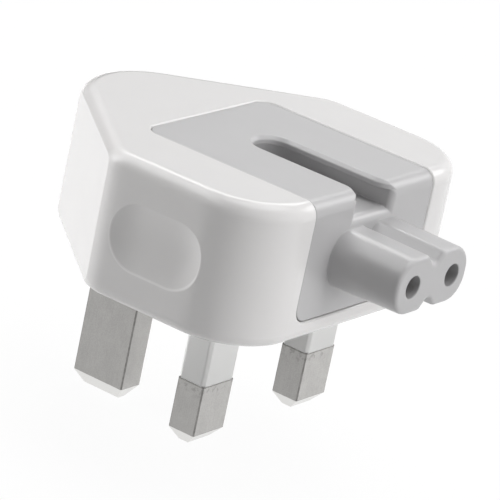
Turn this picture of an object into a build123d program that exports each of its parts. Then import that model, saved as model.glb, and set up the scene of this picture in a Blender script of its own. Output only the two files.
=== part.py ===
from build123d import *
import math
import os

# Three-pin plug head for a power adapter.
# Millimetres. The pins point down, and z = 0 is the face that meets the wall socket.
# The origin lies midway between the line and neutral pins. The connector nose faces -Y.

# Pins, set by the wall socket that they enter
PIN_SPACING = 22.23         # line pin to neutral pin
EARTH_SETBACK = 22.23       # earth pin behind the line through the other two
POLE_PIN_WIDTH = 6.35
POLE_PIN_DEPTH = 4.0
POLE_PIN_LENGTH = 17.7
POLE_TIP_LENGTH = 1.5       # bevelled end of the pin
POLE_TIP_BEVEL_X = 1.0
POLE_TIP_BEVEL_Y = 1.3
EARTH_PIN_WIDTH = 4.0
EARTH_PIN_DEPTH = 8.0
EARTH_PIN_LENGTH = 22.5
EARTH_TIP_LENGTH = 1.8
EARTH_TIP_BEVEL_X = 1.35
EARTH_TIP_BEVEL_Y = 1.15
PIN_CORNER = 0.15           # bevel along the long edges of the pins
PIN_HEAD_LAP = 0.6          # head wider than the pin all round, held in the base plate
SLEEVE_REACH = 9.54         # insulating sleeve below the pin face
SLEEVE_WALL = 0.6
SLEEVE_CORNER = 0.4         # the sleeve's edges are softer than the metal's

# Body: a rounded block that tapers to a round rear end behind the earth pin
BODY_WIDTH = 47.5
BODY_FRONT = 11.95          # front face ahead of the line and neutral pins
BODY_HEIGHT = 18.45
SHOULDER = 12.0             # straight side and taper meet here, behind the same pins
REAR_MARGIN = 6.2           # housing behind the earth pin
REAR_RADIUS = 11.2
FRONT_RADIUS = 9.5
SHOULDER_RADIUS = 5.5
FACET = 0.2                 # each taper is cut flat, this far inside the rounded form
TOP_ROUND = 2.0
BOTTOM_ROUND = 1.5
SIDE_WALL = 2.6
ROOF = 2.4
SKIRT = 2.0                 # wall round the base plate, thinner than the side wall above it

# Finger dish in each side, a scoop with round ends
DISH_LENGTH = 14.25
DISH_HEIGHT = 8.75
DISH_DEPTH = 0.7
DISH_CENTRE_Y = 2.8
DISH_CENTRE_Z = 9.15

# Base plate with bosses moulded round the pin heads
BASE_THICKNESS = 1.8
BASE_GAP = 0.08             # seam between the base plate and the skirt
BOSS_HEIGHT = 2.7
BOSS_WALL = 1.2             # boss beyond the pin head
POST_DIAMETER = 4.0         # posts that hold the insert up against the roof

# Panel of the grey insert, in an L-shaped opening over the top and the front
PANEL_WIDTH = 25.6
PANEL_REACH = 27.4          # back along the top from the front face
PANEL_CORNER = 2.5
PANEL_FOOT = 2.5            # white band left below the panel
PANEL_FOOT_CORNER = 2.3
PANEL_GAP = 0.06
PANEL_FOOT_GAP = 0.15
PANEL_RECESS = 0.15
RIM_BEVEL = 0.2             # softened rim of the opening
FLANGE = 1.4                # rim inside the housing that seats on its walls
FLANGE_LAP = 1.4

# T-slot in the top of the insert
SLOT_WIDTH = 5.7
SLOT_REACH = 18.85          # from the front face to the round end
SLOT_FLARE = 2.8            # rounding of the lips at the mouth
LIP = 1.05
LIP_BEVEL = 0.45
CHANNEL_WIDTH = 7.6
CHANNEL_DEPTH = 3.3
CHANNEL_FLARE = 0.9
CHANNEL_SILL = 1.2          # rounding of the floor at the mouth
TROUGH_WALL = 1.5

# Figure-8 connector nose
NOSE_LENGTH = 10.3
NOSE_WIDTH = 15.3
NOSE_HEIGHT = 7.3
NOSE_END_RADIUS = 3.3
NOSE_DROP = 8.55            # nose centre below the top of the body
NOSE_DRAFT = 1.0            # degrees, wider towards the panel
NOSE_TIP_ROUND = 0.5
NOSE_TIP_STEPS = 3          # facets of the rounded tip
NOTCH_WIDTH = 3.4
NOTCH_DEPTH = 1.7           # to the sharp point, before the rounding
NOTCH_ROUND = 0.9
NOTCH_EDGE = 0.8
HOLE_PITCH = 8.6
HOLE_DIAMETER = 3.0
HOLE_ENTRY = 2.1            # plain hole ahead of the contact

# Tubular contacts behind the nose holes
CONTACT_DIAMETER = 3.5
CONTACT_BORE = 2.5
CONTACT_BORE_DEPTH = 9.5
CONTACT_SLIT = 0.5
CONTACT_SLIT_LENGTH = 6.0
CONTACT_GAP = 0.06
CONTACT_FLANGE_DIAMETER = 4.8
CONTACT_FLANGE = 0.8

# Straps from the pins to the contacts, brazed onto a square stub at each end
STRAP_WIDTH = 4.0
STRAP_THICKNESS = 0.6
STRAP_BEND = 0.6
STUB_WIDTH = 1.8
STUB_GAP = 0.05

# Levels and places worked out from the sizes above
roof_level = BODY_HEIGHT - ROOF
boss_top = BASE_THICKNESS + BOSS_HEIGHT
half_width = BODY_WIDTH / 2
body_rear = EARTH_SETBACK + EARTH_PIN_DEPTH / 2 + REAR_MARGIN
rear_run = body_rear - REAR_RADIUS - SHOULDER
rear_reach = math.hypot(half_width, rear_run)
taper = math.atan2(half_width, rear_run) - math.asin(REAR_RADIUS / rear_reach)
taper_apex = SHOULDER + half_width / math.tan(taper)
pole_x = PIN_SPACING / 2
hole_x = HOLE_PITCH / 2
panel_top = BODY_HEIGHT - PANEL_RECESS
panel_face = BODY_FRONT - PANEL_RECESS
wall_back = BODY_FRONT - SIDE_WALL
flange_back = wall_back - FLANGE
channel_floor = panel_top - CHANNEL_DEPTH
lip_underside = panel_top - LIP
nose_level = BODY_HEIGHT - NOSE_DROP
nose_tip = panel_face + NOSE_LENGTH
nose_round_start = nose_tip - NOSE_TIP_ROUND
contact_mouth = nose_tip - HOLE_ENTRY
leg_face = flange_back - CONTACT_FLANGE
stub_hole = STUB_WIDTH + 2 * STUB_GAP
POLES = (("line", 1), ("neutral", -1))

os.makedirs("parts", exist_ok=True)


def body_plan(inset):
    """Plan of the body, drawn in by inset all round."""
    with BuildSketch() as plan:
        with BuildLine():
            Polyline(
                (-half_width, -BODY_FRONT),
                (half_width, -BODY_FRONT),
                (half_width, SHOULDER),
                (0, taper_apex),
                (-half_width, SHOULDER),
                close=True,
            )
        make_face()
        fillet(plan.vertices().group_by(Axis.Y)[0], FRONT_RADIUS)
        fillet(plan.vertices().sort_by(Axis.Y)[-1], REAR_RADIUS)
        fillet(plan.vertices().sort_by_distance((half_width, SHOULDER))[0], SHOULDER_RADIUS)
        fillet(plan.vertices().sort_by_distance((-half_width, SHOULDER))[0], SHOULDER_RADIUS)
        if inset > 0:
            offset(amount=-inset)
    return plan.sketch


def top_opening(inset):
    """Opening in the roof seen from above, drawn in by inset, open past the front face."""
    width = PANEL_WIDTH - 2 * inset
    rear = PANEL_REACH - BODY_FRONT - inset
    with BuildSketch() as opening:
        with Locations((0, rear)):
            Rectangle(width, rear + BODY_WIDTH, align=(Align.CENTER, Align.MAX))
        fillet(opening.vertices().group_by(Axis.Y)[-1], PANEL_CORNER - inset)
    return opening.sketch


def front_opening(inset, lift):
    """Opening in the front wall seen from the front, open past the roof.

    Its sides are drawn in by inset, and its foot is raised by lift.
    """
    width = PANEL_WIDTH - 2 * inset
    foot = PANEL_FOOT + lift
    with BuildSketch() as opening:
        with Locations((0, foot)):
            Rectangle(width, 2 * BODY_HEIGHT, align=(Align.CENTER, Align.MIN))
        fillet(opening.vertices().group_by(Axis.Y)[0], PANEL_FOOT_CORNER - inset)
    return opening.sketch


def pin_outline(width, length, tip_length, bevel):
    """Flat pin seen square on, from the pin face down to its bevelled tip."""
    half = width / 2
    shank = length - tip_length
    with BuildSketch() as outline:
        with BuildLine():
            Polyline(
                (-half, 0),
                (-half, -shank),
                (-half + bevel, -length),
                (half - bevel, -length),
                (half, -shank),
                (half, 0),
                close=True,
            )
        make_face()
    return outline.sketch


def pin_section(width, depth, corner):
    """Section of a flat pin or of its sleeve, with bevelled corners."""
    with BuildSketch() as section:
        Rectangle(width, depth)
        chamfer(section.vertices(), corner)
    return section.sketch


def slot_plan(width, flare):
    """Slot with a round rear end and a flared mouth, seen from above."""
    end_centre = SLOT_REACH - BODY_FRONT - SLOT_WIDTH / 2
    mouth_half = width / 2 + flare
    with BuildSketch() as plan:
        with Locations((0, end_centre)):
            Rectangle(width, end_centre + panel_face, align=(Align.CENTER, Align.MAX))
            Circle(width / 2)
        with Locations((0, -panel_face + flare)):
            Rectangle(2 * mouth_half, 2 * flare, align=(Align.CENTER, Align.MAX))
        with Locations((-mouth_half, -panel_face + flare), (mouth_half, -panel_face + flare)):
            Circle(flare, mode=Mode.SUBTRACT)
    return plan.sketch


def nose_section():
    """Figure-8 section of the nose: a rounded bar with a notch above and below."""
    with BuildSketch() as section:
        RectangleRounded(NOSE_WIDTH, NOSE_HEIGHT, NOSE_END_RADIUS)
        for side in (1, -1):
            with BuildLine():
                Polyline(
                    (-NOTCH_WIDTH / 2, side * NOSE_HEIGHT / 2),
                    (0, side * (NOSE_HEIGHT / 2 - NOTCH_DEPTH)),
                    (NOTCH_WIDTH / 2, side * NOSE_HEIGHT / 2),
                    close=True,
                )
            make_face(mode=Mode.SUBTRACT)
        for side in (1, -1):
            apex = (0, side * (NOSE_HEIGHT / 2 - NOTCH_DEPTH))
            fillet(section.vertices().sort_by_distance(apex)[0], NOTCH_ROUND)
            for end in (1, -1):
                edge = (end * NOTCH_WIDTH / 2, side * NOSE_HEIGHT / 2)
                fillet(section.vertices().sort_by_distance(edge)[0], NOTCH_EDGE)
    return section.sketch


# Housing: hollow white shell, open below for the base plate
with BuildPart() as housing:
    with BuildSketch():
        add(body_plan(0))
    extrude(amount=BODY_HEIGHT)
    fillet(housing.faces().sort_by(Axis.Z)[-1].edges(), TOP_ROUND)
    fillet(housing.faces().sort_by(Axis.Z)[0].edges(), BOTTOM_ROUND)

    # Flat facet along each taper, with a crease where it meets the rounded edges
    for side in (1, -1):
        outward = Vector(side * math.cos(taper), math.sin(taper), 0)
        foot = Vector(side * half_width, SHOULDER, 0) - FACET * outward
        with BuildSketch(Plane(foot, x_dir=(0, 0, 1), z_dir=outward)):
            Rectangle(2 * BODY_HEIGHT, 2 * BODY_WIDTH)
        extrude(amount=BODY_WIDTH, mode=Mode.SUBTRACT)

    # Each finger dish is the bite of a long round bar with ball ends, held alongside
    dish_radius = ((DISH_HEIGHT / 2) ** 2 + DISH_DEPTH**2) / (2 * DISH_DEPTH)
    dish_run = DISH_LENGTH - DISH_HEIGHT
    bar_x = half_width + dish_radius - DISH_DEPTH
    for side in (1, -1):
        with Locations((side * bar_x, DISH_CENTRE_Y, DISH_CENTRE_Z)):
            Cylinder(dish_radius, dish_run, rotation=(90, 0, 0), mode=Mode.SUBTRACT)
            with GridLocations(0, dish_run, 1, 2):
                Sphere(dish_radius, mode=Mode.SUBTRACT)

    with BuildSketch(Plane.XY.offset(BASE_THICKNESS)):
        add(body_plan(SIDE_WALL))
    extrude(amount=roof_level - BASE_THICKNESS, mode=Mode.SUBTRACT)
    with BuildSketch():
        add(body_plan(SKIRT))
    extrude(amount=BASE_THICKNESS, mode=Mode.SUBTRACT)

    with BuildSketch(Plane.XY.offset(roof_level - FLANGE)):
        add(top_opening(0))
    extrude(amount=ROOF + FLANGE, mode=Mode.SUBTRACT)
    with BuildSketch(Plane.XZ.offset(flange_back)):
        add(front_opening(0, 0))
    extrude(amount=SIDE_WALL + FLANGE, mode=Mode.SUBTRACT)

    # The rim of the opening is softened where it meets the roof and the front face
    roof_edges = housing.faces().sort_by(Axis.Z)[-1].edges()
    front_edges = housing.faces().sort_by(Axis.Y)[0].edges()
    rim = (roof_edges + front_edges).filter_by_position(Axis.X, -PANEL_WIDTH / 2, PANEL_WIDTH / 2)
    rim = rim.filter_by_position(Axis.Y, -BODY_FRONT, PANEL_REACH - BODY_FRONT)
    rim = rim.filter_by_position(Axis.Z, PANEL_FOOT, BODY_HEIGHT)
    chamfer(rim, RIM_BEVEL)
housing.part.label = "housing"
export_step(housing.part, "parts/housing.step")

# Channel of the T-slot: the room below the lips, with a rounded sill at the mouth
with BuildPart() as channel:
    with BuildSketch(Plane.XY.offset(channel_floor - CHANNEL_SILL)):
        add(slot_plan(CHANNEL_WIDTH, CHANNEL_FLARE))
    extrude(amount=lip_underside - channel_floor + CHANNEL_SILL)
    with BuildSketch(Plane.YZ):
        with Locations((-panel_face + CHANNEL_SILL, channel_floor)):
            Rectangle(BODY_FRONT + body_rear, CHANNEL_SILL, align=(Align.MIN, Align.MAX))
        with Locations((-panel_face + CHANNEL_SILL, channel_floor - CHANNEL_SILL)):
            Circle(CHANNEL_SILL)
    extrude(amount=BODY_WIDTH, both=True, mode=Mode.SUBTRACT)

# Connector insert: grey moulding pushed into the opening from inside
with BuildPart() as connector_insert:
    # The panel follows the rounded form of the body, a little below its surface
    with BuildSketch():
        add(body_plan(PANEL_RECESS))
    extrude(amount=panel_top)
    fillet(connector_insert.faces().sort_by(Axis.Z)[-1].edges(), TOP_ROUND - PANEL_RECESS)
    with BuildSketch():
        add(top_opening(PANEL_GAP))
    extrude(amount=panel_top, mode=Mode.INTERSECT)
    with BuildSketch(Plane.XZ.offset(-body_rear)):
        add(front_opening(PANEL_GAP, PANEL_FOOT_GAP))
    extrude(amount=body_rear + BODY_FRONT, mode=Mode.INTERSECT)
    with BuildSketch(Plane.YZ):
        with Locations((-wall_back, roof_level)):
            Rectangle(body_rear + wall_back, roof_level, align=(Align.MIN, Align.MAX))
    extrude(amount=BODY_WIDTH, both=True, mode=Mode.SUBTRACT)

    # Flange against the inside of the roof and of the front wall
    with BuildSketch(Plane.XY.offset(roof_level)):
        add(top_opening(-FLANGE_LAP))
        add(body_plan(SIDE_WALL), mode=Mode.INTERSECT)
    extrude(amount=-FLANGE)
    with BuildSketch(Plane.XY.offset(BASE_THICKNESS)):
        with Locations((0, -wall_back)):
            Rectangle(PANEL_WIDTH + 2 * FLANGE_LAP, FLANGE, align=(Align.CENTER, Align.MIN))
        add(body_plan(SIDE_WALL), mode=Mode.INTERSECT)
    extrude(amount=roof_level - BASE_THICKNESS)

    # Trough that holds the channel of the T-slot below the panel
    with BuildSketch(Plane.XY.offset(roof_level)):
        add(slot_plan(CHANNEL_WIDTH + 2 * TROUGH_WALL, CHANNEL_FLARE))
        with Locations((0, -wall_back)):
            Rectangle(BODY_WIDTH, BODY_FRONT, align=(Align.CENTER, Align.MAX), mode=Mode.SUBTRACT)
    extrude(amount=channel_floor - TROUGH_WALL - roof_level)

    # Figure-8 nose, drafted back to the panel and rounded off at its tip in steps
    nose_plane = Plane((0, -nose_round_start, nose_level), x_dir=(1, 0, 0), z_dir=(0, -1, 0))
    with BuildSketch(nose_plane):
        add(nose_section())
    extrude(amount=nose_round_start - panel_face, dir=(0, 1, 0), taper=-NOSE_DRAFT)
    for step in range(NOSE_TIP_STEPS):
        start = math.pi / 2 * step / NOSE_TIP_STEPS
        end = math.pi / 2 * (step + 1) / NOSE_TIP_STEPS
        run = NOSE_TIP_ROUND * (math.sin(end) - math.sin(start))
        drop = NOSE_TIP_ROUND * (math.cos(start) - math.cos(end))
        with BuildSketch(nose_plane.offset(NOSE_TIP_ROUND * math.sin(start))):
            add(nose_section())
            if step > 0:
                offset(amount=-NOSE_TIP_ROUND * (1 - math.cos(start)))
        extrude(amount=run, taper=math.degrees(math.atan2(drop, run)))

    # T-slot: the slot between the lips, then the wider channel below them
    with BuildSketch(Plane.XY.offset(lip_underside)):
        add(slot_plan(SLOT_WIDTH, SLOT_FLARE))
    extrude(amount=LIP, mode=Mode.SUBTRACT)
    with BuildSketch(Plane.XY.offset(panel_top - LIP_BEVEL)):
        add(slot_plan(SLOT_WIDTH, SLOT_FLARE))
    extrude(amount=LIP_BEVEL, taper=-45, mode=Mode.SUBTRACT)
    add(channel.part, mode=Mode.SUBTRACT)

    # Holes in the nose, widened behind their entries for the contacts
    with BuildSketch(Plane.XZ.offset(nose_tip).shift_origin((0, -nose_tip, nose_level))):
        with GridLocations(HOLE_PITCH, 0, 2, 1):
            Circle(HOLE_DIAMETER / 2)
    extrude(amount=-HOLE_ENTRY, mode=Mode.SUBTRACT)
    with BuildSketch(Plane.XZ.offset(flange_back).shift_origin((0, -flange_back, nose_level))):
        with GridLocations(HOLE_PITCH, 0, 2, 1):
            Circle(CONTACT_DIAMETER / 2 + CONTACT_GAP)
    extrude(amount=contact_mouth - flange_back, mode=Mode.SUBTRACT)
connector_insert.part.label = "connector_insert"
export_step(connector_insert.part, "parts/connector_insert.step")

# Earth pin: bare metal bar with a bevelled tip and a head held in the base plate
with BuildPart() as earth_pin:
    with BuildSketch(Plane.XZ):
        add(pin_outline(EARTH_PIN_WIDTH, EARTH_PIN_LENGTH, EARTH_TIP_LENGTH, EARTH_TIP_BEVEL_X))
    extrude(amount=-EARTH_SETBACK - EARTH_PIN_DEPTH)
    with BuildSketch(Plane.YZ):
        with Locations((EARTH_SETBACK, 0)):
            add(pin_outline(EARTH_PIN_DEPTH, EARTH_PIN_LENGTH, EARTH_TIP_LENGTH, EARTH_TIP_BEVEL_Y))
    extrude(amount=EARTH_PIN_WIDTH, both=True, mode=Mode.INTERSECT)
    with BuildSketch():
        with Locations((0, EARTH_SETBACK)):
            add(pin_section(EARTH_PIN_WIDTH, EARTH_PIN_DEPTH, PIN_CORNER))
    extrude(amount=-EARTH_PIN_LENGTH, mode=Mode.INTERSECT)
    extrude(earth_pin.faces().sort_by(Axis.Z)[-1], amount=BASE_THICKNESS)
    with BuildSketch(Plane.XY.offset(BASE_THICKNESS)):
        with Locations((0, EARTH_SETBACK)):
            Rectangle(EARTH_PIN_WIDTH + 2 * PIN_HEAD_LAP, EARTH_PIN_DEPTH + 2 * PIN_HEAD_LAP)
    extrude(amount=BOSS_HEIGHT)
earth_pin.part.label = "earth_pin"
export_step(earth_pin.part, "parts/earth_pin.step")

moulded_in = [earth_pin.part]

for pole, side in POLES:
    # Line or neutral pin: a blade, a waist under the sleeve, a head and a stub for the strap
    with BuildPart() as pole_pin:
        with BuildSketch(Plane.XZ):
            with Locations((side * pole_x, 0)):
                add(pin_outline(POLE_PIN_WIDTH, POLE_PIN_LENGTH, POLE_TIP_LENGTH, POLE_TIP_BEVEL_X))
        extrude(amount=POLE_PIN_DEPTH, both=True)
        with BuildSketch(Plane.YZ):
            add(pin_outline(POLE_PIN_DEPTH, POLE_PIN_LENGTH, POLE_TIP_LENGTH, POLE_TIP_BEVEL_Y))
        extrude(amount=side * (pole_x + POLE_PIN_WIDTH), mode=Mode.INTERSECT)
        with BuildSketch(Plane.XY.offset(-SLEEVE_REACH)):
            with Locations((side * pole_x, 0)):
                add(pin_section(POLE_PIN_WIDTH, POLE_PIN_DEPTH, PIN_CORNER))
        extrude(amount=SLEEVE_REACH - POLE_PIN_LENGTH, mode=Mode.INTERSECT)
        with BuildSketch(Plane.XY.offset(-SLEEVE_REACH)):
            with Locations((side * pole_x, 0)):
                Rectangle(POLE_PIN_WIDTH - 2 * SLEEVE_WALL, POLE_PIN_DEPTH - 2 * SLEEVE_WALL)
        extrude(amount=SLEEVE_REACH + BASE_THICKNESS)
        with BuildSketch(Plane.XY.offset(BASE_THICKNESS)):
            with Locations((side * pole_x, 0)):
                Rectangle(POLE_PIN_WIDTH + 2 * PIN_HEAD_LAP, POLE_PIN_DEPTH + 2 * PIN_HEAD_LAP)
        extrude(amount=BOSS_HEIGHT)
        with BuildSketch(Plane.XY.offset(boss_top)):
            with Locations((side * pole_x, 0)):
                Rectangle(STUB_WIDTH, STUB_WIDTH)
        extrude(amount=STRAP_THICKNESS)
    pole_pin.part.label = f"{pole}_pin"
    export_step(pole_pin.part, f"parts/{pole}_pin.step")
    moulded_in.append(pole_pin.part)

    # Sleeve: white tube moulded round the waist, flush with the blade
    with BuildPart() as sleeve:
        with BuildSketch(Plane.XY.offset(-SLEEVE_REACH)):
            with Locations((side * pole_x, 0)):
                add(pin_section(POLE_PIN_WIDTH, POLE_PIN_DEPTH, SLEEVE_CORNER))
                Rectangle(
                    POLE_PIN_WIDTH - 2 * SLEEVE_WALL,
                    POLE_PIN_DEPTH - 2 * SLEEVE_WALL,
                    mode=Mode.SUBTRACT,
                )
        extrude(amount=SLEEVE_REACH + BASE_THICKNESS)
    sleeve.part.label = f"{pole}_sleeve"
    export_step(sleeve.part, f"parts/{pole}_sleeve.step")
    moulded_in.append(sleeve.part)

    # Contact: slit tube in the nose, with a flange behind the front wall and a stub for the strap
    contact_plane = Plane((side * hole_x, -leg_face, nose_level), x_dir=(1, 0, 0), z_dir=(0, -1, 0))
    tube_length = contact_mouth - leg_face
    with BuildPart() as contact:
        with BuildSketch(contact_plane):
            Circle(CONTACT_DIAMETER / 2)
        extrude(amount=tube_length)
        with BuildSketch(contact_plane):
            Circle(CONTACT_FLANGE_DIAMETER / 2)
        extrude(amount=CONTACT_FLANGE)
        with BuildSketch(contact_plane.offset(tube_length)):
            Circle(CONTACT_BORE / 2)
        extrude(amount=-CONTACT_BORE_DEPTH, mode=Mode.SUBTRACT)
        with BuildSketch(contact_plane.offset(tube_length)):
            Rectangle(CONTACT_SLIT, 2 * CONTACT_DIAMETER)
        extrude(amount=-CONTACT_SLIT_LENGTH, mode=Mode.SUBTRACT)
        with BuildSketch(contact_plane):
            Rectangle(STUB_WIDTH, STUB_WIDTH)
        extrude(amount=-STRAP_THICKNESS)
    contact.part.label = f"{pole}_contact"
    export_step(contact.part, f"parts/{pole}_contact.step")

    # Strap: a flat foot on the pin head, turned up into a leg behind the contact
    foot_top = boss_top + STRAP_THICKNESS
    leg_top = nose_level + STRAP_WIDTH / 2
    with BuildPart() as strap:
        with BuildSketch(Plane.YZ.offset(side * hole_x)) as bend:
            with BuildLine():
                Polyline(
                    (-leg_face, leg_top),
                    (-leg_face, boss_top),
                    (STRAP_WIDTH / 2, boss_top),
                    (STRAP_WIDTH / 2, foot_top),
                    (-leg_face + STRAP_THICKNESS, foot_top),
                    (-leg_face + STRAP_THICKNESS, leg_top),
                    close=True,
                )
            make_face()
            heel = (-leg_face, boss_top)
            crook = (-leg_face + STRAP_THICKNESS, foot_top)
            fillet(bend.vertices().sort_by_distance(heel)[0], STRAP_BEND + STRAP_THICKNESS)
            fillet(bend.vertices().sort_by_distance(crook)[0], STRAP_BEND)
        extrude(amount=STRAP_WIDTH / 2, both=True)
        fillet(strap.edges().filter_by(Axis.Y).group_by(Axis.Z)[-1], STRAP_WIDTH / 2 - STUB_GAP)
        with BuildSketch(Plane.XY.offset(boss_top)):
            with Locations((side * (hole_x + pole_x) / 2, 0)):
                SlotCenterToCenter(pole_x - hole_x, STRAP_WIDTH)
        extrude(amount=STRAP_THICKNESS)
        with BuildSketch(Plane.XY.offset(boss_top)):
            with Locations((side * pole_x, 0)):
                Rectangle(stub_hole, stub_hole)
        extrude(amount=STRAP_THICKNESS, mode=Mode.SUBTRACT)
        with BuildSketch(contact_plane):
            Rectangle(stub_hole, stub_hole)
        extrude(amount=-STRAP_THICKNESS, mode=Mode.SUBTRACT)
    strap.part.label = f"{pole}_strap"
    export_step(strap.part, f"parts/{pole}_strap.step")

# Base plate: closes the housing, moulded round the pins and their sleeves
with BuildPart() as base_plate:
    head_wall = PIN_HEAD_LAP + BOSS_WALL
    with BuildSketch(Plane.XY.offset(BASE_THICKNESS)):
        with GridLocations(PIN_SPACING, 0, 2, 1):
            Rectangle(POLE_PIN_WIDTH + 2 * head_wall, POLE_PIN_DEPTH + 2 * head_wall)
        with Locations((0, EARTH_SETBACK)):
            Rectangle(EARTH_PIN_WIDTH + 2 * head_wall, EARTH_PIN_DEPTH + 2 * head_wall)
        add(body_plan(SIDE_WALL + BASE_GAP), mode=Mode.INTERSECT)
    extrude(amount=BOSS_HEIGHT)
    post_x = (CHANNEL_WIDTH / 2 + TROUGH_WALL + PANEL_WIDTH / 2) / 2
    post_y = PANEL_REACH - BODY_FRONT - PANEL_CORNER - POST_DIAMETER / 2
    with BuildSketch(Plane.XY.offset(BASE_THICKNESS)):
        with Locations((-post_x, post_y), (post_x, post_y)):
            Circle(POST_DIAMETER / 2)
    extrude(amount=roof_level - FLANGE - BASE_THICKNESS)
    with BuildSketch():
        add(body_plan(SKIRT + BASE_GAP))
    extrude(amount=BASE_THICKNESS)
    for piece in moulded_in:
        add(piece, mode=Mode.SUBTRACT)
base_plate.part.label = "base_plate"
export_step(base_plate.part, "parts/base_plate.step")
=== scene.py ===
import math

import bpy
from mathutils import Matrix, Vector


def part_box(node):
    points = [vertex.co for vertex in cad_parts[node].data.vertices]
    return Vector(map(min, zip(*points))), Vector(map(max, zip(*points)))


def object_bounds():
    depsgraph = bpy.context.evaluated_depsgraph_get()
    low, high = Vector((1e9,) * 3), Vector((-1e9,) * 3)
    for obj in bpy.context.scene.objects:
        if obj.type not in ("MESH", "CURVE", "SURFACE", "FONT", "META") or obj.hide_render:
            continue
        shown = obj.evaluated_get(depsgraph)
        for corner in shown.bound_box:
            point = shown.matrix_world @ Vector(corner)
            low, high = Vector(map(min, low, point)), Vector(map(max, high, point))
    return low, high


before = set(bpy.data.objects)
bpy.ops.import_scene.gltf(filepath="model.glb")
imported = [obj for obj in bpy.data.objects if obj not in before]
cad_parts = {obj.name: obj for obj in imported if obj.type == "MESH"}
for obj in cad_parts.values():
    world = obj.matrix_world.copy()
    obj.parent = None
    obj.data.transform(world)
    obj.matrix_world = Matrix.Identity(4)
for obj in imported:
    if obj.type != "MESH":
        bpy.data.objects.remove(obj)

cad_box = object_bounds()

# Contacts and straps: the current path from the two live pins to the nose.
# Both are brass with a dull tin plate. The contact is a turned tube, slit at its mouth, and
# the strap is a bent strip brazed to the contact and to the head of its pin.
MM = 0.001
TIN = (0.62, 0.61, 0.58, 1)
TIN_TARNISH = (0.50, 0.49, 0.46, 1)
TARNISH_BLOTCH = 1.5 * MM


class Wire:
    """One output socket. Arithmetic on it adds Math nodes to its tree."""

    def __init__(self, graph, socket):
        self.graph = graph
        self.socket = socket

    def pick(self, output):
        """Another output of the same node."""
        return Wire(self.graph, self.socket.node.outputs[output])

    def maths(self, operation, *values):
        return self.graph.node("Math", {"operation": operation}, dict(enumerate(values)))

    def __add__(self, other):
        return self.maths("ADD", self, other)

    __radd__ = __add__

    def __sub__(self, other):
        return self.maths("SUBTRACT", self, other)

    def __rsub__(self, other):
        return self.maths("SUBTRACT", other, self)

    def __mul__(self, other):
        return self.maths("MULTIPLY", self, other)

    __rmul__ = __mul__

    def __abs__(self):
        return self.maths("ABSOLUTE", self)

    def larger(self, other):
        return self.maths("MAXIMUM", self, other)

    def root(self):
        return self.maths("SQRT", self)

    def between(self, low, high):
        """Low where this is 0, high where it is 1, and in proportion between them."""
        return low + (high - low) * self

    def rise(self, start, end):
        """0 up to start, 1 from end on, and a smooth step between them."""
        sockets = {"Value": self, "From Min": start, "From Max": end}
        return self.graph.node("MapRange", {"interpolation_type": "SMOOTHSTEP"}, sockets)

    def contrast(self):
        """A noise field, which stays near the middle, spread over 0 to 1."""
        return self.rise(0.3, 0.7)


class Graph:
    """A node tree that is filled node by node."""

    def __init__(self, tree):
        self.tree = tree
        tree.nodes.clear()

    def node(self, kind, settings=None, sockets=None):
        """Add a node, apply its settings, then set or link its sockets."""
        made = self.tree.nodes.new("ShaderNode" + kind)
        for name, value in (settings or {}).items():
            setattr(made, name, value)
        for name, value in (sockets or {}).items():
            if isinstance(value, Wire):
                self.tree.links.new(value.socket, made.inputs[name])
            else:
                made.inputs[name].default_value = value
        if made.outputs:
            return Wire(self, made.outputs[0])

    def mix(self, share, first, second):
        """Colour between first, at share 0, and second, at share 1."""
        factor, colour_a, colour_b, result = 0, 6, 7, 2    # places of a Mix node's colour sockets
        sockets = {factor: share, colour_a: first, colour_b: second}
        return self.node("Mix", {"data_type": "RGBA"}, sockets).pick(result)

    def place(self):
        return self.node("TexCoord").pick("Object")

    def noise(self, place, grain, detail=2.0):
        """Soft random field whose blotches are about as large as grain."""
        return self.node("TexNoise", None, {"Vector": place, "Scale": 1 / grain, "Detail": detail})


def finish(name):
    """A new material and the graph that holds its nodes."""
    material = bpy.data.materials.new(name)
    material.use_nodes = True
    return material, Graph(material.node_tree)


def surface(graph, sockets):
    """End a material in one Principled shader."""
    shader = graph.node("BsdfPrincipled", None, sockets)
    graph.node("OutputMaterial", None, {"Surface": shader})


def clothe(material, *nodes):
    for name in nodes:
        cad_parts[name].material_slots[0].material = material


def tin_plate():
    material, graph = finish("tin_plate")
    tarnish = graph.noise(graph.place(), TARNISH_BLOTCH, detail=4)
    surface(graph, {
        "Base Color": graph.mix(tarnish, TIN, TIN_TARNISH),
        "Metallic": 1.0,
        "Roughness": tarnish.between(0.3, 0.5),
    })
    return material


clothe(tin_plate(), "line_contact", "neutral_contact", "line_strap", "neutral_strap")

# Pins: flat bars of brass, cut and bevelled at the tip, then plated with satin nickel.
# Their heads are moulded into the base plate. The earth pin is longer and bare to its root.
HEAD_LAP = 0.6 * MM             # head wider than the blade all round
PIN_CORNER = 0.15 * MM          # bevel along the blade's long edges
POLE_TIP = 1.5 * MM             # height of the bevelled tip
EARTH_TIP = 1.8 * MM
TIP_BLUR = 0.03 * MM
NICKEL_DULL = (0.325, 0.319, 0.311, 1)
NICKEL_CLEAR = (0.435, 0.428, 0.417, 1)
# painted reflection: a light colour on the tip's bevels that stands in for the white floor they
# mirror
NICKEL_TIP_PAINTED_REFLECTION = (0.77, 0.765, 0.75, 1)
# painted shade along the edges, on the tip's ridge and under the collar
NICKEL_PAINTED_SHADE = (0.10, 0.098, 0.092, 1)
NICKEL_CLOUD = 2.0 * MM
NICKEL_GRAIN = 0.14 * MM
DRAWN_LINE = 0.12 * MM
DRAWN_STRETCH = (1, 1, 0.06)    # draws grain out into lines along the pin
# size of the random patches where the painted shade is stronger
SHADE_PATCH = 0.7 * MM
EDGE_LINE = 0.06 * MM           # reach of the painted shade lines from edge, ridge and collar
RIDGE_LINE = 0.12 * MM
COLLAR_LINE = 0.22 * MM
COLLAR_CORE = 0.06 * MM         # where the line under the collar is darkest
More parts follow.
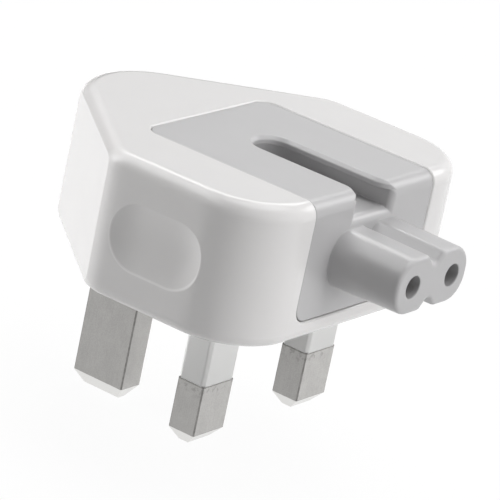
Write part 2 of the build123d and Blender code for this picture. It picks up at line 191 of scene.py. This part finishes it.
# painted shade that darkens the blade in patches just under the collar
UNDER_BODY_SHADE_REACH = 2.2 * MM
UNDER_BODY_SHADE_CORE = 0.2 * MM
RELIEF = 0.02 * MM


def relief(graph, height, strength, **normal):
    """Fine relief of the surface, RELIEF deep for each unit of height."""
    sockets = {"Height": height, "Strength": strength, "Distance": RELIEF}
    return graph.node("Bump", None, sockets | normal)


def nickel_plate(name, pin, tip_height, collar):
    """Satin plate, with a painted reflection on the tip's bevels and painted shade along the edges
    and under the collar.
    """
    low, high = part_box(pin)
    centre = (low + high) / 2
    half = (high - low) / 2
    corner_reach = half.x + half.y - 2 * HEAD_LAP - PIN_CORNER
    tip_top = low.z + tip_height

    material, graph = finish(name)
    place = graph.place()
    axes = graph.node("SeparateXYZ", None, {"Vector": place})
    height = axes.pick("Z")
    # The two live pins mirror each other across X, so one material serves both
    corner = abs(abs(axes.pick("X")) - centre.x) + abs(axes.pick("Y") - centre.y)
    tip = 1 - height.rise(tip_top - TIP_BLUR, tip_top + TIP_BLUR)

    cloud = graph.noise(place, NICKEL_CLOUD, detail=3).contrast()
    grain = graph.noise(place, NICKEL_GRAIN).contrast()
    drawn = graph.node("Mapping", None, {"Vector": place, "Scale": DRAWN_STRETCH})
    lines = graph.noise(drawn, DRAWN_LINE).contrast()
    mottle = 0.2 * cloud + 0.55 * grain + 0.25 * lines

    # Painted shade: dark lines along the edges, on the tip's ridge and under the collar, and
    # patches just below the collar, stronger in random patches.
    shade_patches = graph.noise(place, SHADE_PATCH, detail=3).contrast()
    edge = corner.rise(corner_reach - EDGE_LINE, corner_reach + EDGE_LINE / 3)
    edge_line = edge * (1 - tip) * shade_patches.between(0.45, 0.8)
    ridge = 1 - abs(height - tip_top).rise(RIDGE_LINE / 6, RIDGE_LINE)
    ridge_line = ridge * shade_patches.between(0.1, 0.3)
    under_collar = height.rise(collar - COLLAR_LINE, collar - COLLAR_CORE)
    collar_line = under_collar * shade_patches.between(0.45, 0.85)
    under_body_shade = height.rise(collar - UNDER_BODY_SHADE_REACH, collar - UNDER_BODY_SHADE_CORE) * shade_patches.rise(0.55, 1) * 0.35
    painted_shade = edge_line.larger(ridge_line).larger(collar_line).larger(under_body_shade)

    side = graph.mix(mottle, NICKEL_DULL, NICKEL_CLEAR)
    surface(graph, {
        # The tip's bevels take the painted reflection, and the painted shade lies over everything.
        "Base Color": graph.mix(painted_shade, graph.mix(tip, side, NICKEL_TIP_PAINTED_REFLECTION), NICKEL_PAINTED_SHADE),
        "Metallic": 1.0,
        "Roughness": mottle.between(0.44, 0.56) - 0.1 * tip,
        "Normal": relief(graph, grain + lines, 0.1),
    })
    return material


sleeve_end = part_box("line_sleeve")[0].z
base_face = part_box("base_plate")[0].z
clothe(nickel_plate("pole_nickel", "line_pin", POLE_TIP, sleeve_end), "line_pin", "neutral_pin")
clothe(nickel_plate("earth_nickel", "earth_pin", EARTH_TIP, base_face), "earth_pin")

# Sleeves: insulating tubes round the roots of the two live pins, satin white plastic
# moulded over the metal and flush with the blade below.
SLEEVE_SHADE = (0.78, 0.78, 0.77, 1)
SLEEVE_WHITE = (0.82, 0.82, 0.81, 1)
SLEEVE_CLOUD = 3.0 * MM
SLEEVE_GRAIN = 0.1 * MM
SLEEVE_EDGE = 0.35 * MM


def rounded(graph, radius):
    """Normal that rounds every edge by a small radius."""
    return graph.node("Bevel", {"samples": 8}, {"Radius": radius})


def satin_white():
    material, graph = finish("satin_white")
    place = graph.place()
    cloud = graph.noise(place, SLEEVE_CLOUD)
    grain = graph.noise(place, SLEEVE_GRAIN)
    surface(graph, {
        "Base Color": graph.mix(cloud, SLEEVE_SHADE, SLEEVE_WHITE),
        "Roughness": cloud.between(0.38, 0.46),
        "Normal": relief(graph, grain, 0.06, Normal=rounded(graph, SLEEVE_EDGE)),
    })
    return material


clothe(satin_white(), "line_sleeve", "neutral_sleeve")

# Housing and base plate: glossy white plastic. The housing is one moulded shell with a
# finger dish in each side, and the base plate closes it from below, round the pins.
HOUSING_SHADE = (0.79, 0.778, 0.774, 1)
HOUSING_WHITE = (0.82, 0.808, 0.804, 1)
HOUSING_CLOUD = 9.0 * MM
HOUSING_PEEL = 0.9 * MM
HOUSING_EDGE = 0.2 * MM
# Painted highlight along the lower rim of each finger dish, and where that rim lies
RIM_PAINTED_HIGHLIGHT = (0.93, 0.918, 0.914, 1)
RIM_CENTRE_Y = 3.0 * MM         # middle of the line round a finger dish
RIM_CENTRE_Z = 9.15 * MM
RIM_RUN = 5.1 * MM              # straight stretch between its round ends
RIM_HEIGHT = 8.75 * MM
RIM_WIDTH = 0.4 * MM


def painted_rim_highlight(graph, place):
    """Painted highlight: a thin light line along the lower rim of each finger dish, fading towards
    the top.
    """
    axes = graph.node("SeparateXYZ", None, {"Vector": place})
    along = (abs(axes.pick("Y") - RIM_CENTRE_Y) - RIM_RUN / 2).larger(0)
    across = axes.pick("Z") - RIM_CENTRE_Z
    reach = (along * along + across * across).root() - RIM_HEIGHT / 2
    line = 1 - abs(reach).rise(0.1 * RIM_WIDTH, 0.6 * RIM_WIDTH)
    return line * (1 - across.rise(-0.3 * RIM_HEIGHT, 0.5 * RIM_HEIGHT))


def gloss_white():
    material, graph = finish("gloss_white")
    place = graph.place()
    cloud = graph.noise(place, HOUSING_CLOUD, detail=3)
    peel = graph.noise(place, HOUSING_PEEL)
    white = graph.mix(cloud, HOUSING_SHADE, HOUSING_WHITE)
    surface(graph, {
        # the housing's white, with the painted highlight along the dish rims
        "Base Color": graph.mix(painted_rim_highlight(graph, place), white, RIM_PAINTED_HIGHLIGHT),
        "Roughness": cloud.between(0.14, 0.22),
        "Normal": relief(graph, peel, 0.03, Normal=rounded(graph, HOUSING_EDGE)),
    })
    return material


clothe(gloss_white(), "housing", "base_plate")

# Connector insert: one light grey moulding pushed into the housing from inside, with the
# panel, the T-slot and the figure-8 nose. It is a shade less glossy than the housing.
INSERT_SHADE = (0.485, 0.48, 0.485, 1)
INSERT_GREY = (0.515, 0.51, 0.515, 1)
INSERT_CLOUD = 6.0 * MM
INSERT_GRAIN = 0.15 * MM
INSERT_EDGE = 0.3 * MM


def light_grey():
    material, graph = finish("light_grey")
    place = graph.place()
    cloud = graph.noise(place, INSERT_CLOUD, detail=3)
    grain = graph.noise(place, INSERT_GRAIN)
    surface(graph, {
        "Base Color": graph.mix(cloud, INSERT_SHADE, INSERT_GREY),
        "Roughness": cloud.between(0.30, 0.36),
        "Specular IOR Level": 0.8,
        "Normal": relief(graph, grain, 0.04, Normal=rounded(graph, INSERT_EDGE)),
    })
    return material


clothe(light_grey(), "connector_insert")

# Floor: a wide pale sheet at the tip of the earth pin. To the camera and in reflections it
# is nearly white, and it still takes the soft shadow of the plug.
FLOOR_HALF = 4.0
FLOOR_PAINT = (0.64, 0.64, 0.64, 1)
FLOOR_WHITENESS = 0.9
FLOOR_GLOW = 1.05
WHITE = (1, 1, 1, 1)


def stage_sheet(name, material, corners):
    """One flat four-sided face that isn't part of the plug."""
    mesh = bpy.data.meshes.new(name)
    mesh.from_pydata(corners, [], [(0, 1, 2, 3)])
    mesh.materials.append(material)
    sheet = bpy.data.objects.new(name, mesh)
    bpy.context.scene.collection.objects.link(sheet)
    return sheet


def seen(graph):
    """1 for rays from the camera, a reflection or a clear body, and 0 for the light itself."""
    ray = graph.node("LightPath")
    reflected = ray.pick("Is Glossy Ray") + ray.pick("Is Transmission Ray")
    return (ray.pick("Is Camera Ray") + reflected).rise(0, 1)


def pale_paint():
    material, graph = finish("pale_paint")
    paint = graph.node("BsdfDiffuse", None, {"Color": FLOOR_PAINT})
    glow = graph.node("Emission", None, {"Color": WHITE, "Strength": FLOOR_GLOW})
    both = graph.node("MixShader", None, {0: seen(graph) * FLOOR_WHITENESS, 1: paint, 2: glow})
    graph.node("OutputMaterial", None, {"Surface": both})
    return material


floor_level = cad_box[0].z
stage_sheet("floor", pale_paint(), [
    (x * FLOOR_HALF, y * FLOOR_HALF, floor_level) for x, y in ((-1, -1), (1, -1), (1, 1), (-1, 1))
])

# Studio light: a wide softbox overhead with a key beside it, one low behind the plug and one
# ahead of its nose. A strip and three cards draw the highlights along the edges, another card
# lights the pins alone, and a black flag behind the plug shows only in its reflections.
LAMP_DISTANCE = 0.9
FLAG_WIDTH = 1.4
FLAG_HEIGHT = 0.4
BLACK = (0, 0, 0, 1)


def softbox(name, direction, size, power, mirrored=True, spread=True):
    """Area lamp in a direction from the plug, turned to face it, with its sides in metres and
    its power in watts. A lamp that isn't mirrored leaves no highlight, and one that isn't
    spread leaves nothing else."""
    lamp = bpy.data.lights.new(name, "AREA")
    lamp.shape = "RECTANGLE"
    lamp.size, lamp.size_y = size
    lamp.energy = power
    holder = bpy.data.objects.new(name, lamp)
    outward = Vector(direction).normalized()
    holder.location = plug_centre + outward * LAMP_DISTANCE
    holder.rotation_euler = outward.to_track_quat("Z", "Y").to_euler()
    holder.visible_camera = False
    holder.visible_glossy = mirrored
    holder.visible_diffuse = spread
    bpy.context.scene.collection.objects.link(holder)
    return holder


plug_centre = (cad_box[0] + cad_box[1]) / 2
softbox("top_softbox", (0.16, -0.05, 0.99), (0.7, 0.7), 4.1)
softbox("key_softbox", (0.05, -0.50, 0.86), (0.4, 0.4), 1.5, mirrored=False)
softbox("back_softbox", (-0.27, 0.96, 0.08), (0.5, 0.35), 8.9, mirrored=False)
softbox("nose_softbox", (0.10, -0.98, 0.16), (0.6, 0.35), 4.0, mirrored=False)
softbox("edge_strip", (-0.20, 0.50, 0.84), (1.5, 0.25), 2.4, spread=False)
softbox("edge_card", (0.62, 0.38, 0.68), (0.55, 0.28), 1.6)
softbox("front_card", (0.79, -0.32, 0.49), (0.35, 0.30), 0.9, spread=False)
softbox("corner_card", (-0.30, 0.80, 0.52), (0.45, 0.60), 2.5, spread=False)
metal_card = softbox("metal_card", (0.75, -0.65, 0.05), (0.5, 0.35), 7.0, spread=False)

metal = bpy.data.collections.new("metal")
for name in ("earth_pin", "line_pin", "neutral_pin"):
    metal.objects.link(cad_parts[name])
metal_card.light_linking.receiver_collection = metal

flag_cloth, flag_graph = finish("flag_cloth")
surface(flag_graph, {"Base Color": BLACK, "Specular IOR Level": 0.0, "Roughness": 1.0})
flag = stage_sheet("flag", flag_cloth, [
    (x * FLAG_WIDTH, LAMP_DISTANCE, floor_level + z * FLAG_HEIGHT)
    for x, z in ((0, 0), (1, 0), (1, 1), (0, 1))
])
flag.visible_camera = False
flag.visible_diffuse = False
flag.visible_shadow = False

# Room: nearly dark, so that the light comes from the lamps. To the camera and in reflections
# it is white.
ROOM_GREY = (0.02, 0.02, 0.02, 1)

world = bpy.data.worlds.new("room")
bpy.context.scene.world = world
world.use_nodes = True
room = Graph(world.node_tree)
room_colour = room.mix(seen(room), ROOM_GREY, WHITE)
background = room.node("Background", None, {"Color": room_colour, "Strength": 1.0})
room.node("OutputWorld", None, {"Surface": background})

# Camera: a long lens ahead of the near side, above it and a little rolled, placed so that
# the pins and the body fall where they do in the photograph.
AIM = Vector((-0.16, 4.52, 3.90)) * MM
AZIMUTH = math.radians(-57.56)
ELEVATION = math.radians(19.75)
ROLL = math.radians(11.94)
DISTANCE = 504.78 * MM
SENSOR = 36.0
FOCAL_PIXELS = 4012.35
IMAGE_PIXELS = 500
NEAR_LIMIT = 0.01

level = Vector((math.cos(AZIMUTH), math.sin(AZIMUTH), 0))
ahead = Vector((math.sin(AZIMUTH), -math.cos(AZIMUTH), 0))
back = ahead * math.cos(ELEVATION) + Vector((0, 0, math.sin(ELEVATION)))
upright = back.cross(level)
right = level * math.cos(ROLL) + upright * math.sin(ROLL)
up = upright * math.cos(ROLL) - level * math.sin(ROLL)

lens = bpy.data.cameras.new("camera")
lens.sensor_width = SENSOR
lens.lens = FOCAL_PIXELS / IMAGE_PIXELS * SENSOR
lens.clip_start = NEAR_LIMIT
camera = bpy.data.objects.new("camera", lens)
turn = Matrix((right, up, back)).transposed().to_4x4()
camera.matrix_world = Matrix.Translation(AIM + back * DISTANCE) @ turn
bpy.context.scene.collection.objects.link(camera)
bpy.context.scene.camera = camera
bpy.context.scene.view_settings.view_transform = "Standard"
